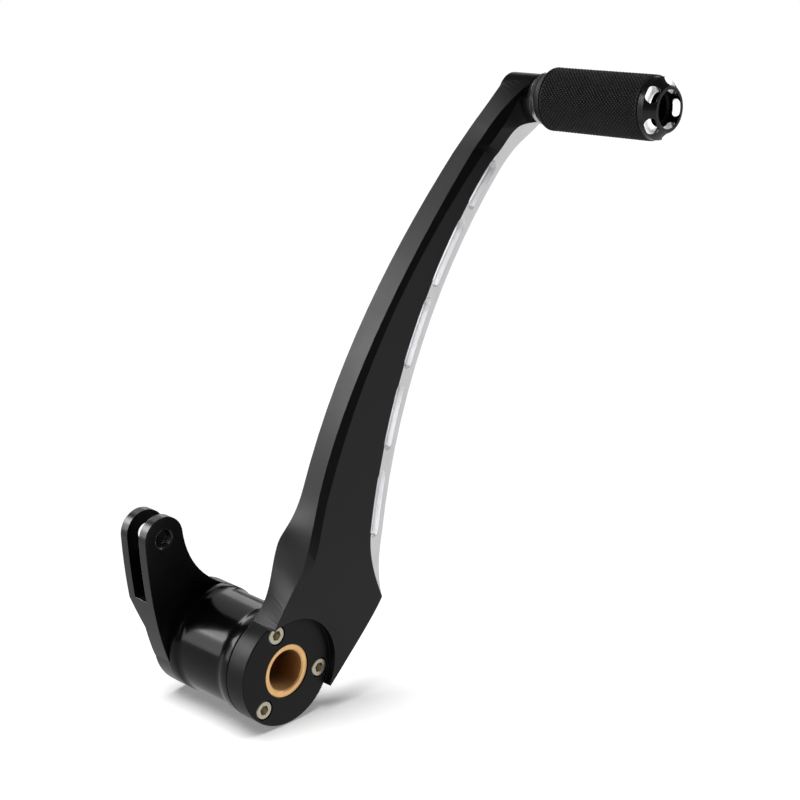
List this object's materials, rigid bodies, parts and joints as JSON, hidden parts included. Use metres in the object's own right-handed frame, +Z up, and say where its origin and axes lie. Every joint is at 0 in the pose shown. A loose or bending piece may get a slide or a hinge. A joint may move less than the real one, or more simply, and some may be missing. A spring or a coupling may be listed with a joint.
{
  "type": "foot-control lever",
  "caption": "Curved billet foot lever on a bushed pivot tube, with a forked rod arm inboard and a turning knurled toe peg with a windowed end cap.",
  "frame": {"origin": "on the pivot axis, in the plane of the hub's outboard face", "axes": "+Y inboard along the pivot axis, towards the motorcycle; +Z up from the pivot; +X the way the arm leans, towards the peg"},
  "size_m": [0.1993, 0.1434, 0.2685],
  "materials": {
    "lever_arm": "black anodised satin, machined bright on the front strip and in its pockets",
    "pivot_tube": "gloss black anodised",
    "clevis_lever": "gloss black anodised",
    "outer_bushing": "sintered bronze, machined",
    "inner_bushing": "sintered bronze, machined",
    "hub_screws": "stainless",
    "clevis_screws": "stainless",
    "peg_bolt": "zinc plated",
    "peg_lock_washer": "zinc plated",
    "peg_base_washer": "stainless, polished edge",
    "peg_core": "machined",
    "peg_sleeve": "matt black, diamond knurl",
    "peg_liners": "nylon",
    "peg_end_cap": "gloss black anodised, bright machined windows"
  },
  "bodies": {
    "lever": {"lever_arm": "lever_arm", "pivot_tube": "pivot_tube", "clevis_lever": "clevis_lever", "outer_bushing": "outer_bushing", "inner_bushing": "inner_bushing", "hub_screws": "hub_screws", "clevis_screws": "clevis_screws", "peg_bolt": "peg_bolt", "peg_lock_washer": "peg_lock_washer", "peg_base_washer": "peg_base_washer", "peg_core": "peg_core", "peg_end_cap": "peg_end_cap"},
    "peg_roller": {"peg_sleeve": "peg_sleeve", "peg_liners": "peg_liners"}
  },
  "joints": [
    {"name": "peg_spin", "type": "hinge", "parent": "lever", "child": "peg_roller", "pos_m": [0.1515, -0.0395, 0.2302], "axis": [0, 1, 0], "continuous": true}
  ]
}
